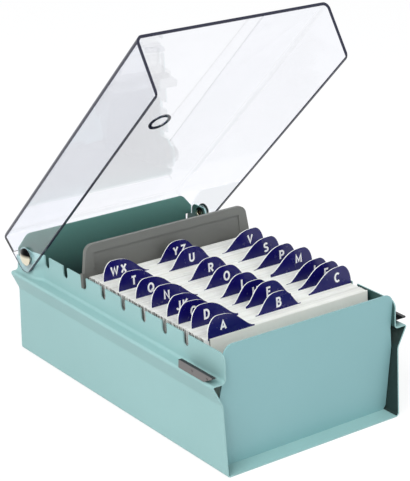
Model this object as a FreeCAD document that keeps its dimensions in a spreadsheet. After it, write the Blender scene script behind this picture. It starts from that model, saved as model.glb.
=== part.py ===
import FreeCAD, Part
import math
import os
import re
import Sketcher

# A table-top card file: a bent steel tray open at the top, two upright end panels, a plate that
# hooks into notched walls to hold the cards up, lettered dividers and cards, and a clear lid that
# swings on two rivets. Millimetres; +Z is up, -Y is the front and +X is the right-hand side. The
# origin lies on the table, under the middle of the tray's floor.

# Driving sizes: name, value, what it is. Each fit is a size and a named clearance.
SIZES = (
    ("card_wide", 127.0, "index card, width"),
    ("card_high", 76.2, "index card, height"),
    ("sheet", 0.9, "steel sheet thickness"),
    ("base_long", 226.8, "floor, front edge to rear edge"),
    ("card_room", 4.2, "edge of a card to the outside of the wall at the floor"),
    ("wall_spread", 1.1, "how much further out the wall is where the fold starts"),
    ("fold_reach", 7.4, "how far the fold's corner stands out from there, before it is rounded"),
    ("upper_room", 2.9, "edge of a card to the outside of the upper wall"),
    ("flare_high", 45.0, "height where the wall turns outwards"),
    ("flare_rise", 13.9, "from there up to the ledge on top of the fold"),
    ("upper_tall", 17.4, "from the ledge up to the top of the notched wall"),
    ("shoulder_drop", 6.5, "how much lower the wall is behind an ear"),
    ("ear_rise", 1.3, "how much higher an ear is than the wall"),
    ("floor_bend", 2.5, "outside radius of the bends along the floor"),
    ("flare_bend", 6.0, "outside radius where the wall turns outwards"),
    ("lip_bend", 1.4, "outside radius of the sharp edge"),
    ("ledge_bend", 2.0, "hollow radius where the ledge turns up"),
    ("flare_back", 4.5, "front edge of the wall behind the floor's, at the flare"),
    ("lip_back", 5.3, "the same at the ledge"),
    ("upper_back", 6.3, "the same on the upper wall"),
    ("rear_flare_back", 0.9, "rear edge of the wall ahead of the floor's, at the flare"),
    ("rear_lip_back", 2.1, "the same at the ledge"),
    ("rear_upper_back", 2.9, "the same on the upper wall"),
    ("wall_round", 5.0, "rounded front corner of the upper wall"),
    ("pivot_inset", 17.3, "hinge axis ahead of the floor's rear edge"),
    ("pivot_drop", 4.4, "hinge axis below the top of an ear"),
    ("ear_behind", 9.3, "rear edge of an ear behind the hinge axis"),
    ("ear_ahead", 5.1, "where an ear reaches its full height and reach, ahead of the hinge axis"),
    ("ear_slope", 6.5, "length of the step outwards in front of an ear"),
    ("ear_out", 3.9, "how far an ear stands out from the notched wall"),
    ("ear_bend", 5.0, "hollow radius of the bends in that step"),
    ("ear_round", 4.0, "rounded rear corner of an ear"),
    ("notch_inset", 33.2, "rearmost notch ahead of the floor's rear edge"),
    ("notch_pitch", 21.6, "notch to notch"),
    ("notch_count", 8, "notches in each wall"),
    ("notch_wide", 5.0, "width of a notch"),
    ("notch_deep", 7.7, "depth of a notch"),
    ("lean", 6.5, "backward lean of notches, plate, cards and dividers, in degrees"),
    ("panel_inset", 11.5, "foot of the front panel behind the floor's front edge"),
    ("panel_top_inset", 7.8, "top of the front panel behind the floor's front edge"),
    ("panel_rise", 4.6, "how much higher the front panel is than the walls"),
    ("panel_round", 6.5, "rounded top corners of the front panel"),
    ("rear_inset", 8.5, "foot of the rear panel ahead of the floor's rear edge"),
    ("rear_top_inset", 4.7, "top of the rear panel ahead of the floor's rear edge"),
    ("rear_rise", 7.4, "how much higher the rear panel is than the walls"),
    ("rear_slant", 7.4, "how much narrower each side of the rear panel is at the top"),
    ("rear_slant_high", 8.4, "height of that slant"),
    ("rear_round", 5.0, "rounded top corners of the rear panel"),
    ("panel_clear", 0.1, "gap between a panel's sides and the walls"),
    ("panel_slim", 0.5, "how much narrower than the flared wall a panel is"),
    ("flange_deep", 6.0, "foot of a panel that lies on the floor"),
    ("open_angle", 47.0, "lid opened from level, in degrees"),
    ("ear_gap", 0.2, "gap between an ear and a lid side"),
    ("lid_wall", 1.6, "thickness of the lid"),
    ("rim_long", 217.1, "lower edge of a lid side"),
    ("rim_drop", 8.7, "lid's lower edge below the hinge axis"),
    ("lid_high", 35.8, "height of the lid"),
    ("tail_inset", 4.8, "lid's rear lower corner ahead of the floor's rear edge, lid shut"),
    ("tail_lean", 3.3, "how far the lid's rear leans out"),
    ("nose_lean", 8.1, "how far the lid's front leans out"),
    ("tail_round", 9.5, "rounded lower rear corner of a lid side"),
    ("nose_round", 4.0, "rounded lower front corner of a lid side"),
    ("fold_round", 4.5, "outside radius of the lid's folds"),
    ("skirt_clear", 2.2, "room between the skirt and the rear end of a wall as the lid swings"),
    ("disc_ahead", 99.8, "moulded disc ahead of the hinge axis"),
    ("disc_wide", 16.0, "moulded disc, across"),
    ("disc_ring", 2.2, "width of the disc's raised ring"),
    ("disc_high", 0.7, "height of the disc's raised ring"),
    ("rivet_wide", 6.0, "rivet shank, across"),
    ("rivet_wall", 0.9, "wall of the hollow end of a rivet"),
    ("bore_deep", 4.0, "depth of that hollow"),
    ("rolled_lip", 0.9, "how far a rivet's end is rolled out"),
    ("rolled_thick", 0.8, "thickness of the rolled end"),
    ("head_lip", 2.9, "how far the head reaches past the shank"),
    ("head_rim", 0.8, "thickness of the head at its edge"),
    ("dome_high", 1.8, "height of the head's dome above that"),
    ("washer_lip", 1.8, "how far a washer reaches past the shank"),
    ("washer_thick", 0.7, "thickness of a washer"),
    ("washer_gap", 0.2, "play between a washer and the lid"),
    ("pin_clear", 0.05, "radial running clearance on a rivet"),
    ("rest_inset", 6.2, "tip of a lid rest behind the floor's front edge"),
    ("rest_long", 32.0, "lid rest, rear end to tip"),
    ("rest_bevel", 7.6, "length of the slanted tip of a lid rest"),
    ("rest_nose", 1.0, "height of the blunt tip of a lid rest"),
    ("rest_high", 5.2, "height of a lid rest"),
    ("rest_thick", 2.4, "thickness of a lid rest's upright"),
    ("rest_edge", 1.0, "lid rest in from the corner of the fold"),
    ("rest_foot", 3.1, "thickness of the foot that takes the lid's rim"),
    ("rest_reach", 5.0, "width of a lid rest over its foot"),
    ("pip_wide", 1.6, "moulded pip on a lid rest, across"),
    ("pip_high", 0.3, "height of a pip"),
    ("plate_thick", 3.0, "follower plate"),
    ("plate_recess", 0.7, "depth of the sunk field in the plate's face"),
    ("plate_border", 5.6, "width of the raised border round that field"),
    ("plate_foot", 2.1, "underside of the plate above the floor"),
    ("plate_gap", 1.7, "gap between the plate and the upper wall"),
    ("plate_waist", 0.2, "plate above its hooks, in from the outside of the wall"),
    ("waist_lift", 2.35, "widest part of the plate above the top of the wall"),
    ("plate_crown", 18.05, "from there up to the top of the plate"),
    ("plate_taper", 2.8, "how much narrower each side is at the top"),
    ("plate_round", 6.0, "rounded top corners of the plate"),
    ("hook_reach", 1.2, "how far a hook reaches past the outside of the wall"),
    ("hook_clear", 1.1, "gap on each side of a hook in its notch"),
    ("seat_clear", 0.3, "gap under a hook in its notch"),
    ("rear_notch_count", 2, "notches behind the pair that holds the plate"),
    ("stack_gap", 1.7, "first card behind the foot of the front panel"),
    ("divider_thick", 0.4, "divider"),
    ("divider_clear", 0.1, "gap on each face of a divider"),
    ("foot_clear", 0.08, "gap under a divider"),
    ("plate_clear", 0.3, "gap between the last card and the plate"),
    ("tab_high", 11.9, "height of a tab above the cards"),
    ("tab_inset", 2.0, "side tab in from the edge of the card"),
    ("tab_steep", 7.5, "width of the steep side of a side tab"),
    ("tab_slope", 27.3, "width of the long slope of a side tab"),
    ("tab_half", 17.7, "half the width of a middle tab"),
    ("overrun", 2.0, "how far a cut runs past what it cuts"),
)

# A tab's column, and how far along the stack its divider stands, as a share of the stack.
DIVIDER_SHARES = (
    ("a", "left", 0.011), ("b", "middle", 0.090), ("c", "right", 0.138),
    ("d", "left", 0.155), ("e", "middle", 0.188), ("f", "right", 0.219),
    ("g", "left", 0.238), ("h", "middle", 0.268), ("i", "right", 0.314),
    ("jk", "left", 0.344), ("l", "middle", 0.372), ("m", "right", 0.443),
    ("n", "left", 0.479), ("o", "middle", 0.506), ("p", "right", 0.565),
    ("q", "left", 0.619), ("r", "middle", 0.648), ("s", "right", 0.703),
    ("t", "left", 0.750), ("u", "middle", 0.820), ("v", "right", 0.853),
    ("wx", "left", 0.901), ("yz", "middle", 0.938),
)
# Where the pips stand along a lid rest, from its rear end.
PIP_SHARES = (0.40, 0.85)
# Points that carry each half of a tab's curve, and the power that holds its slope back.
CURVE_STEPS = 8
CURVE_POWER = 1.57

document = FreeCAD.newDocument("card_file")
sheet = document.addObject("Spreadsheet::Sheet", "Sizes")
for row, (alias, amount, words) in enumerate(SIZES, 1):
    sheet.set(f"A{row}", words)
    sheet.set(f"B{row}", str(amount))
    sheet.setAlias(f"B{row}", alias)
document.recompute()

NAMES = {alias for alias, _, _ in SIZES}

# Places that several pieces share, as sums of the driving sizes. Half widths are to the outside.
FLOOR_HALF = "(card_wide / 2 + card_room)"
WALL_HALF = f"({FLOOR_HALF} + wall_spread)"
LIP_HALF = f"({WALL_HALF} + fold_reach)"
UPPER_HALF = "(card_wide / 2 + upper_room)"
LIP_Z = "(flare_high + flare_rise)"
WALL_Z = f"({LIP_Z} + upper_tall)"
EAR_Z = f"({WALL_Z} + ear_rise)"
SHOULDER_Z = f"({WALL_Z} - shoulder_drop)"
NOTCH_Z = f"({WALL_Z} - notch_deep)"
PIVOT_Z = f"({EAR_Z} - pivot_drop)"
PIVOT_Y = "(base_long / 2 - pivot_inset)"
EAR_REAR = f"({PIVOT_Y} + ear_behind)"
EAR_FRONT = f"({PIVOT_Y} - ear_ahead)"
STEP_FRONT = f"({EAR_FRONT} - ear_slope)"
# How much further back the bends of that step are on the inside of the sheet.
STEP_SHIFT = "(sheet * tan(atan(ear_out / ear_slope) / 2))"
REAR_NOTCH_Y = "(base_long / 2 - notch_inset)"
NOTCH_Y = f"({REAR_NOTCH_Y} - rear_notch_count * notch_pitch)"
NOTCH_RADIUS = "(notch_wide / 2)"
HOOK_THICK = "(notch_wide - 2 * hook_clear)"
HOOK_LIFT = f"({NOTCH_RADIUS} - sqrt({NOTCH_RADIUS} ^ 2 - ({HOOK_THICK} / 2) ^ 2) + seat_clear)"
SLOPE = "cos(lean * 1 deg)"
PLATE_Y = f"({NOTCH_Y} - {NOTCH_Z} * tan(lean * 1 deg))"
STACK_FRONT = "(panel_inset + flange_deep + stack_gap - base_long / 2)"
STACK_REAR = f"({PLATE_Y} - (plate_thick / 2 + plate_clear) / {SLOPE})"
LID_TAIL = "(pivot_inset - tail_inset)"
LID_NOSE = f"(rim_long - {LID_TAIL})"
LID_TOP = "(lid_high - rim_drop)"
EAR_HALF = f"({UPPER_HALF} + ear_out)"
LID_INSIDE = f"({EAR_HALF} + ear_gap)"
LID_OUTSIDE = f"({LID_INSIDE} + lid_wall)"
# Half the angles between the sheet's slanting parts, which place the inner corners of its bends.
WALL_SLANT = "atan(wall_spread / flare_high)"
FLARE_SLANT = "atan(fold_reach / flare_rise)"
MEAN_SLANT = f"(({WALL_SLANT} + {FLARE_SLANT}) / 2)"
BEND_SLANT = f"(({FLARE_SLANT} - {WALL_SLANT}) / 2)"
# The skirt's lower edge swings just outside the rear end of a wall.
WALL_SWING = f"sqrt((pivot_inset - rear_upper_back) ^ 2 + ({PIVOT_Z} - {SHOULDER_Z}) ^ 2)"
SKIRT_LOW = (
    f"sqrt(({WALL_SWING} + skirt_clear) ^ 2 - ({LID_TAIL} - lid_wall + tail_lean / 2) ^ 2)"
)


def bound(text):
    """The same sum with each size's name pointing at its cell."""
    return re.sub(r"[a-z_]+", lambda m: "Sizes." + m[0] if m[0] in NAMES else m[0], text)


def number(text):
    """What a sum of the sizes comes to, in millimetres."""
    result = sheet.evalExpression(bound(text))
    return float(getattr(result, "Value", result))


def bind(thing, **sums):
    """Tie each named property of an object to a sum of the sizes."""
    for name, text in sums.items():
        thing.setExpression(name, bound(text))


def set_place(thing, x="0", y="0", z="0", turn="0", axis=FreeCAD.Vector(1, 0, 0)):
    """Put an object at bound coordinates, turned about an axis by a bound angle."""
    thing.Placement = FreeCAD.Placement(FreeCAD.Vector(), FreeCAD.Rotation(axis, 90))
    for name, text in (("x", x), ("y", y), ("z", z)):
        thing.setExpression(f".Placement.Base.{name}", bound(text))
    thing.setExpression(".Placement.Rotation.Angle", bound(turn))


def mirrored(half):
    """A closed outline from its right half, listed from the bottom to the top."""
    return list(half) + [(f"-({x})", z) for x, z in reversed(half)]


def new_sketch(body, name, plane):
    """An empty sketch on one of the body's own planes."""
    sketch = body.newObject("Sketcher::SketchObject", name)
    support = next(f for f in body.Origin.OriginFeatures if f.Role == plane)
    sketch.AttachmentSupport = [(support, "")]
    sketch.MapMode = "FlatFace"
    return sketch


def hold(sketch, kind, geometry, point, text):
    """Fix a point's distance from the sketch's origin to a sum of the sizes."""
    amount = number(text)
    constraint = Sketcher.Constraint(kind, -1, 1, geometry, point, amount)
    index = sketch.addConstraint(constraint)
    sketch.setExpression(f"Constraints[{index}]", bound(text))


def outline(body, name, plane, *loops):
    """A sketch of closed polygons, with every corner held by two bound distances."""
    sketch = new_sketch(body, name, plane)
    for corners in loops:
        first = sketch.GeometryCount
        count = len(corners)
        spots = [FreeCAD.Vector(number(a), number(b), 0) for a, b in corners]
        for i, spot in enumerate(spots):
            sketch.addGeometry(Part.LineSegment(spot, spots[(i + 1) % count]), False)
        for i in range(count):
            after = first + (i + 1) % count
            sketch.addConstraint(Sketcher.Constraint("Coincident", first + i, 2, after, 1))
        for i, (a, b) in enumerate(corners):
            hold(sketch, "DistanceX", first + i, 1, a)
            hold(sketch, "DistanceY", first + i, 1, b)
    return sketch


def circles(body, name, plane, *rounds):
    """A sketch of circles, each given by its centre and its radius."""
    sketch = new_sketch(body, name, plane)
    for a, b, radius in rounds:
        centre = FreeCAD.Vector(number(a), number(b), 0)
        ring = Part.Circle(centre, FreeCAD.Vector(0, 0, 1), number(radius))
        geometry = sketch.addGeometry(ring, False)
        hold(sketch, "DistanceX", geometry, 3, a)
        hold(sketch, "DistanceY", geometry, 3, b)
        index = sketch.addConstraint(Sketcher.Constraint("Radius", geometry, number(radius)))
        sketch.setExpression(f"Constraints[{index}]", bound(radius))
    return sketch


def pad(body, name, sketch, length, both=True):
    """Thicken a sketch by a bound length, evenly to both sides or to one."""
    feature = body.newObject("PartDesign::Pad", name)
    feature.Profile = sketch
    feature.SideType = "Symmetric" if both else "One side"
    bind(feature, Length=length)
    document.recompute()
    return feature


def cut(body, name, sketch, length):
    """Cut a sketch's shape away over a bound length, evenly to both sides."""
    before = body.Shape.Volume
    feature = body.newObject("PartDesign::Pocket", name)
    feature.Profile = sketch
    feature.SideType = "Symmetric"
    bind(feature, Length=length)
    document.recompute()
    if not body.Shape.Volume < before:
        raise RuntimeError(f"{name} cuts nothing")
    return feature


def edges_along(feature, axis, *spots):
    """Names of the edges along an axis that pass through a spot in the plane across it."""
    across = [i for i in range(3) if i != axis]
    targets = [[number(text) for text in spot] for spot in spots]
    found = []
    for i, edge in enumerate(feature.Shape.Edges, 1):
        ends = [vertex.Point for vertex in edge.Vertexes]
        if len(ends) < 2:
            continue
        span = ends[1] - ends[0]
        if abs(span[axis]) < max(abs(span[k]) for k in across):
            continue
        low, high = sorted(ends, key=lambda end: end[axis])
        for target in targets:
            near = [
                min(low[k], high[k]) - TOUCH <= goal <= max(low[k], high[k]) + TOUCH
                for k, goal in zip(across, target)
            ]
            if all(near):
                found.append(f"Edge{i}")
                break
    return found


def rounded(body, name, radius, axis, *spots):
    """Round the edges along an axis at the given spots by a bound radius."""
    base = body.Tip
    names = edges_along(base, axis, *spots)
    if not names:
        raise RuntimeError(f"{name} finds no edge")
    feature = body.newObject("PartDesign::Fillet", name)
    feature.Base = (base, names)
    bind(feature, Radius=radius)
    document.recompute()
    return feature


def both_sides(x, z):
    """A spot and its mirror image."""
    return (x, z), (f"-({x})", z)


# How near a corner an edge has to pass to be taken for it, as a share of the sheet.
TOUCH_SHARE = 0.05
TOUCH = TOUCH_SHARE * number("sheet")


def make_base_tray():
    """One bent sheet: the floor, two walls folded out to a sharp ledge, notches and ears."""
    body = document.addObject("PartDesign::Body", "base_tray")
    outer = [
        (FLOOR_HALF, "0"),
        (WALL_HALF, "flare_high"),
        (LIP_HALF, LIP_Z),
        (UPPER_HALF, LIP_Z),
        (UPPER_HALF, EAR_Z),
    ]
    inner = [
        (f"{FLOOR_HALF} - sheet * cos({WALL_SLANT}) / (1 + sin({WALL_SLANT}))", "sheet"),
        (
            f"{WALL_HALF} - sheet * cos({MEAN_SLANT}) / cos({BEND_SLANT})",
            f"flare_high + sheet * sin({MEAN_SLANT}) / cos({BEND_SLANT})",
        ),
        (
            f"{LIP_HALF} - sheet * cos({FLARE_SLANT}) / (1 - sin({FLARE_SLANT}))",
            f"{LIP_Z} - sheet",
        ),
        (f"{UPPER_HALF} - sheet", f"{LIP_Z} - sheet"),
        (f"{UPPER_HALF} - sheet", EAR_Z),
    ]
    right = outer + inner[::-1]
    left = [(f"-({x})", z) for x, z in inner + outer[::-1]]
    pad(body, "bent_sheet", outline(body, "section", "XZ_Plane", right + left), "base_long")
    add_steps(body)
    bends = (
        ("floor_bend", 0), ("flare_bend", 1), ("lip_bend", 2), ("ledge_bend", 3),
    )
    inside = (
        ("floor_bend - sheet", 0), ("flare_bend + sheet", 1),
        ("lip_bend - sheet", 2), ("ledge_bend + sheet", 3),
    )
    for rows, spots, side in ((bends, outer, "outer"), (inside, inner, "inner")):
        for radius, index in rows:
            name = f"{side}_bend_{index}"
            rounded(body, name, radius, 1, *both_sides(*spots[index]))
    through = f"2 * ({LIP_HALF} + overrun)"
    front = "(-base_long / 2)"
    rear = "(base_long / 2)"
    above = f"{EAR_Z} + overrun"
    ends = outline(
        body, "wall_ends", "YZ_Plane",
        [
            (front, "floor_bend"),
            (f"{front} + flare_back", "flare_high"),
            (f"{front} + lip_back", LIP_Z),
            (f"{front} + upper_back", WALL_Z),
            (f"{front} + upper_back", above),
            (f"{front} - overrun", above),
            (f"{front} - overrun", "floor_bend"),
        ],
        [
            (rear, "floor_bend"),
            (f"{rear} - rear_flare_back", "flare_high"),
            (f"{rear} - rear_lip_back", LIP_Z),
            (f"{rear} - rear_upper_back", SHOULDER_Z),
            (f"{rear} - rear_upper_back", above),
            (f"{rear} + overrun", above),
            (f"{rear} + overrun", "floor_bend"),
        ],
    )
    cut(body, "slanted_ends", ends, through)
    top = outline(
        body, "wall_top", "YZ_Plane",
        [
            (f"{front} - overrun", WALL_Z),
            (STEP_FRONT, WALL_Z),
            (EAR_FRONT, EAR_Z),
            (EAR_FRONT, above),
            (f"{front} - overrun", above),
        ],
        [
            (EAR_REAR, above),
            (EAR_REAR, SHOULDER_Z),
            (f"{rear} + overrun", SHOULDER_Z),
            (f"{rear} + overrun", above),
        ],
    )
    cut(body, "top_edge", top, through)
    rounded(body, "front_corners", "wall_round", 0, (f"{front} + upper_back", WALL_Z))
    rounded(body, "ear_corners", "ear_round", 0, (EAR_REAR, EAR_Z))
    spot = (PIVOT_Y, PIVOT_Z, "rivet_wide / 2 + pin_clear")
    hole = circles(body, "rivet_spot", "YZ_Plane", spot)
    cut(body, "rivet_holes", hole, through)
    add_notches(body, through)
    return body


def add_steps(body):
    """The step that carries the rear end of each upper wall outwards, for the hinge ears."""
    outer = [(UPPER_HALF, STEP_FRONT), (EAR_HALF, EAR_FRONT), (EAR_HALF, "(base_long / 2)")]
    inner = [
        (f"{UPPER_HALF} - sheet", f"{STEP_FRONT} + {STEP_SHIFT}"),
        (f"{EAR_HALF} - sheet", f"{EAR_FRONT} + {STEP_SHIFT}"),
        (f"{EAR_HALF} - sheet", "(base_long / 2)"),
    ]
    strip = [inner[0], (f"{UPPER_HALF} - sheet", STEP_FRONT)] + outer + inner[:0:-1]
    sides = strip, [(f"-({x})", y) for x, y in strip]
    sketch = outline(body, "step_shape", "XY_Plane", *sides)
    sketch.setExpression(".AttachmentOffset.Base.z", bound(f"{LIP_Z} - sheet"))
    pad(body, "step", sketch, f"{EAR_Z} - {LIP_Z} + sheet", both=False)
    within = [
        (f"{UPPER_HALF} - sheet - overrun", f"{STEP_FRONT} + {STEP_SHIFT}"), *inner[:2],
        (f"{EAR_HALF} - sheet", "(base_long / 2 + overrun)"),
        (f"{UPPER_HALF} - sheet - overrun", "(base_long / 2 + overrun)"),
    ]
    sides = within, [(f"-({x})", y) for x, y in within]
    sketch = outline(body, "step_room", "XY_Plane", *sides)
    sketch.setExpression(".AttachmentOffset.Base.z", bound(EAR_Z))
    cut(body, "step_inside", sketch, f"2 * ({EAR_Z} - {LIP_Z} + sheet + overrun)")
    hollow, ridge = "ear_bend", "ear_bend + sheet"
    for name, radius, spot in (
        ("step_bend_1", hollow, outer[0]), ("step_bend_2", ridge, outer[1]),
        ("step_bend_3", ridge, inner[0]), ("step_bend_4", hollow, inner[1]),
    ):
        rounded(body, name, radius, 2, *both_sides(*spot))


def add_notches(body, through):
    """Round-bottomed slots, cut through both walls and repeated along them."""
    sketch = new_sketch(body, "notch_shape", "YZ_Plane")
    sketch.AttachmentOffset = FreeCAD.Placement(
        FreeCAD.Vector(), FreeCAD.Rotation(FreeCAD.Vector(0, 0, -1), 90)
    )
    sketch.setExpression(".AttachmentOffset.Base.x", bound(REAR_NOTCH_Y))
    sketch.setExpression(".AttachmentOffset.Base.y", bound(NOTCH_Z))
    sketch.setExpression(".AttachmentOffset.Rotation.Angle", bound("lean"))
    half = number(NOTCH_RADIUS)
    top = number("notch_deep + overrun")
    corners = [(-half, top), (-half, half), (half, half), (half, top)]
    spots = [FreeCAD.Vector(a, b, 0) for a, b in corners]
    sketch.addGeometry(Part.LineSegment(spots[0], spots[1]), False)
    lower = Part.Circle(FreeCAD.Vector(0, half, 0), FreeCAD.Vector(0, 0, 1), half)
    sketch.addGeometry(Part.ArcOfCircle(lower, math.pi, 2 * math.pi), False)
    sketch.addGeometry(Part.LineSegment(spots[2], spots[3]), False)
    sketch.addGeometry(Part.LineSegment(spots[3], spots[0]), False)
    for before, after in ((0, 1), (1, 2), (2, 3), (3, 0)):
        sketch.addConstraint(Sketcher.Constraint("Coincident", before, 2, after, 1))
    hold(sketch, "DistanceX", 1, 3, "0")
    hold(sketch, "DistanceY", 1, 3, NOTCH_RADIUS)
    hold(sketch, "DistanceX", 0, 1, f"-{NOTCH_RADIUS}")
    hold(sketch, "DistanceX", 0, 2, f"-{NOTCH_RADIUS}")
    hold(sketch, "DistanceY", 0, 2, NOTCH_RADIUS)
    hold(sketch, "DistanceY", 0, 1, "notch_deep + overrun")
    hold(sketch, "DistanceY", 2, 1, NOTCH_RADIUS)
    hold(sketch, "DistanceX", 2, 2, NOTCH_RADIUS)
    hold(sketch, "DistanceY", 2, 2, "notch_deep + overrun")
    notch = cut(body, "rear_notch", sketch, through)
    row = body.newObject("PartDesign::LinearPattern", "notches")
    row.Originals = [notch]
    along = next(f for f in body.Origin.OriginFeatures if f.Role == "Y_Axis")
    row.Direction = (along, [""])
    row.Reversed = True
    bind(row, Length="(notch_count - 1) * notch_pitch", Occurrences="notch_count")
    body.Tip = row
    document.recompute()


def make_panel(name, facing, foot, top, high, radius, widths):
    """An end panel: an upright plate that leans outwards, with a foot along the floor.

    facing is "-1 *" for the front panel and "1 *" for the rear one. widths lists the half
    widths, each with its height, from the bottom to the top.
    """
    body = document.addObject("PartDesign::Body", name)
    edge = f"{facing} (base_long / 2"
    section = [
        (f"{edge} - {foot})", "sheet"),
        (f"{edge} - {top})", high),
        (f"{edge} - {top} - sheet)", high),
        (f"{edge} - {foot} - sheet)", "2 * sheet"),
        (f"{edge} - {foot} - flange_deep)", "2 * sheet"),
        (f"{edge} - {foot} - flange_deep)", "sheet"),
    ]
    widest = max((half for half, _ in widths), key=number)
    pad(body, "plate", outline(body, "section", "YZ_Plane", section), f"2 * ({widest})")
    outside = f"{widest} + overrun"
    above = f"{high} + overrun"
    right = widths + [(widths[-1][0], above), (outside, above), (outside, widths[0][1])]
    left = [(f"-({x})", z) for x, z in right]
    trim = outline(body, "sides", "XZ_Plane", right, left)
    cut(body, "trimmed_sides", trim, "base_long + overrun")
    rounded(body, "top_corners", radius, 1, *both_sides(widths[-1][0], high))
    return body


def make_panels():
    """The front and rear panels, which stand between the walls."""
    inside = f"{FLOOR_HALF} - sheet - panel_clear"
    neck = f"{UPPER_HALF} - sheet - panel_clear"
    lower = [
        (f"{inside} - floor_bend", "0"),
        (inside, "sheet + floor_bend"),
        (f"{WALL_HALF} - sheet - panel_slim", "flare_high"),
        (neck, f"{LIP_Z} - sheet - panel_slim"),
    ]
    top = f"{WALL_Z} + panel_rise"
    make_panel(
        "front_panel", "-1 *", "panel_inset", "panel_top_inset", top, "panel_round",
        lower + [(neck, top)],
    )
    top = f"{WALL_Z} + rear_rise"
    step = f"{SHOULDER_Z} + panel_clear"
    make_panel(
        "rear_panel", "1 *", "rear_inset", "rear_top_inset", top, "rear_round",
        lower + [
            (neck, step), (EAR_HALF, step), (EAR_HALF, f"{top} - rear_slant_high"),
            (f"{EAR_HALF} - rear_slant", top),
        ],
    )


def make_follower_plate():
    """The plate that keeps the cards upright and hangs by two hooks in a pair of notches."""
    body = document.addObject("PartDesign::Body", "follower_plate")
    foot = f"(sheet + plate_foot) / {SLOPE}"
    hook_low = f"{NOTCH_Z} / {SLOPE} + {HOOK_LIFT}"
    waist = f"{WALL_Z} / {SLOPE} + waist_lift"
    crown = f"{waist} + plate_crown"
    side = f"{UPPER_HALF} - sheet - plate_gap"
    shoulder = f"{UPPER_HALF} - plate_waist"
    half = [
        (side, foot),
        (side, waist),
        (shoulder, waist),
        (f"{shoulder} - plate_taper", crown),
    ]
    pad(body, "plate", outline(body, "face", "XZ_Plane", mirrored(half)), "plate_thick")
    rounded(body, "top_corners", "plate_round", 1, *both_sides(*half[3]))
    hook = [
        (f"{side} - overrun", hook_low),
        (f"{UPPER_HALF} + hook_reach", hook_low),
        (f"{UPPER_HALF} + hook_reach", waist),
        (f"{side} - overrun", waist),
    ]
    other = [(f"-({x})", z) for x, z in hook]
    pad(body, "hooks", outline(body, "hook_shape", "XZ_Plane", hook, other), HOOK_THICK)
    field = [
        (f"{side} - plate_border", f"{foot} + plate_border"),
        (f"{side} - plate_border", waist),
        (f"{shoulder} - plate_taper - plate_border", f"{crown} - plate_border"),
    ]
    sketch = outline(body, "field_shape", "XZ_Plane", mirrored(field))
    sketch.setExpression(".AttachmentOffset.Base.z", bound("plate_thick / 2"))
    cut(body, "field", sketch, "2 * plate_recess")
    set_place(body, y=PLATE_Y, turn="-lean")
    return body


def block(name, plane, corners, length, *rounds):
    """A body made of one padded outline whose edges are rounded, each as name, radius, axis, spots."""
    body = document.addObject("PartDesign::Body", name)
    pad(body, f"{name}_pad", outline(body, f"{name}_shape", plane, corners), length)
    for word, radius, axis, *spots in rounds:
        rounded(body, f"{name}_{word}", radius, axis, *spots)
    return body


def combined(kind, name, *things):
    """The common part or the union of several shapes, or the first one less the second."""
    result = document.addObject(f"Part::{kind}", name)
    if kind == "Cut":
        result.Base, result.Tool = things
    else:
        result.Shapes = list(things)
    document.recompute()
    return result


def make_lid():
    """The clear lid: a roof, two sides and a short rear skirt, modelled level on its axis."""
    rim = "(-rim_drop)"
    side = [
        (LID_TAIL, rim),
        (f"{LID_TAIL} + tail_lean", LID_TOP),
        (f"-{LID_NOSE} - nose_lean", LID_TOP),
        (f"-{LID_NOSE}", rim),
    ]
    flank = block(
        "lid_flank", "YZ_Plane", side, f"2 * {LID_OUTSIDE}",
        ("tail", "tail_round", 0, side[0]),
        ("nose", "nose_round", 0, side[3]),
        ("fold", "fold_round", 0, side[1]),
    )
    low = f"{rim} - overrun"
    arch = [(LID_OUTSIDE, low), (LID_OUTSIDE, LID_TOP)]
    section = block(
        "lid_arch", "XZ_Plane", mirrored(arch), "2 * base_long",
        ("fold", "fold_round", 1, *both_sides(LID_OUTSIDE, LID_TOP)),
    )
    outer = combined("MultiCommon", "lid_outer", flank, section)
    roof = f"{LID_TOP} - lid_wall"
    inside = [
        (f"{LID_TAIL} - lid_wall", low),
        (f"{LID_TAIL} + tail_lean - lid_wall", roof),
        (f"-{LID_NOSE} - nose_lean - overrun", roof),
        (f"-{LID_NOSE} - nose_lean - overrun", low),
    ]
    within = block(
        "room_flank", "YZ_Plane", inside, f"2 * {LID_INSIDE}",
        ("fold", "fold_round - lid_wall", 0, inside[1]),
    )
    arch = [(LID_INSIDE, low), (LID_INSIDE, roof)]
    vault = block(
        "room_arch", "XZ_Plane", mirrored(arch), "2 * base_long",
        ("fold", "fold_round - lid_wall", 1, *both_sides(LID_INSIDE, roof)),
    )
    room = combined("MultiCommon", "lid_room", within, vault)
    under = [
        (f"{LID_TAIL} - tail_round", low),
        (f"{LID_TAIL} + tail_lean + overrun", low),
        (f"{LID_TAIL} + tail_lean + overrun", SKIRT_LOW),
        (f"{LID_TAIL} - tail_round", SKIRT_LOW),
    ]
    gap = block("skirt_gap", "YZ_Plane", under, f"2 * {LID_INSIDE}")
    hole = document.addObject("PartDesign::Body", "rivet_line")
    line = circles(hole, "rivet_spot", "YZ_Plane", ("0", "0", "rivet_wide / 2 + pin_clear"))
    pad(hole, "rivet_run", line, f"2 * ({LID_OUTSIDE} + overrun)")
    disc = document.addObject("PartDesign::Body", "lid_disc")
    centre = ("0", "-disc_ahead")
    outline_radius = "disc_wide / 2"
    rounds = [(*centre, outline_radius), (*centre, f"{outline_radius} - disc_ring")]
    ring = circles(disc, "disc_shape", "XY_Plane", *rounds)
    ring.setExpression(".AttachmentOffset.Base.z", bound(f"{LID_TOP} - disc_high"))
    pad(disc, "disc_ring", ring, "2 * disc_high", both=False)
    tools = combined("MultiFuse", "lid_tools", room, gap, hole)
    shell = combined("Cut", "lid_shell", outer, tools)
    lid = combined("MultiFuse", "lid", shell, disc)
    set_place(lid, y=PIVOT_Y, z=PIVOT_Z, turn="open_angle", axis=FreeCAD.Vector(-1, 0, 0))
    return lid


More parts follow.
